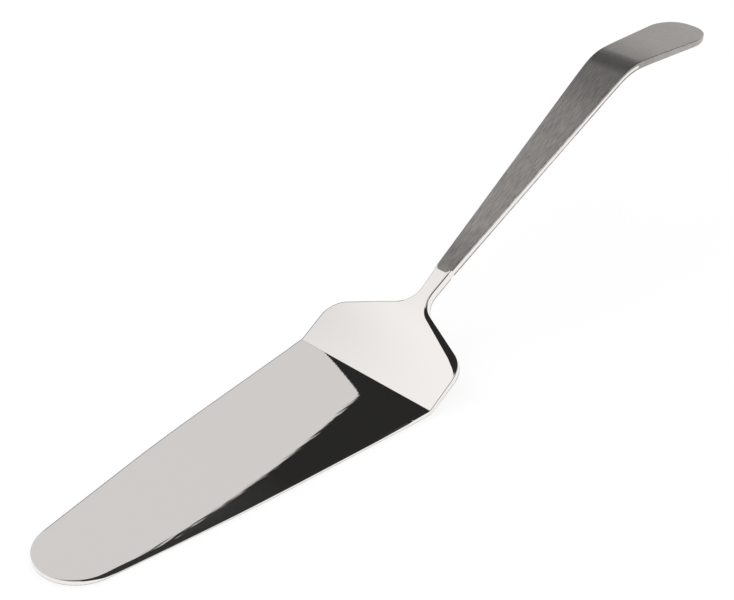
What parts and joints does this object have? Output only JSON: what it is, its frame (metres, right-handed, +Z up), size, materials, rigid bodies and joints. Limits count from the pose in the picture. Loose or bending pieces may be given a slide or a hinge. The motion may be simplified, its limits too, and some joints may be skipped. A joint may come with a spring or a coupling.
{
  "type": "cake server",
  "caption": "Cake server: flat tapered blade with a round tip, raised shoulder and narrow neck, and a flat bar handle bent level at its end.",
  "frame": {"origin": "on the table under the middle of the flat blade", "axes": "+X from the tip towards the handle, +Y across the blade, +Z up from the table"},
  "size_m": [0.2838, 0.054, 0.0649],
  "materials": {
    "polished_steel": "mirror polished stainless steel",
    "satin_steel": "stainless steel brushed along the handle, with polished edges",
    "silver_braze": "silver brazing alloy, out of sight in the joint"
  },
  "bodies": {
    "root": {"blade": "polished_steel", "handle": "satin_steel", "braze": "silver_braze"}
  },
  "joints": []
}
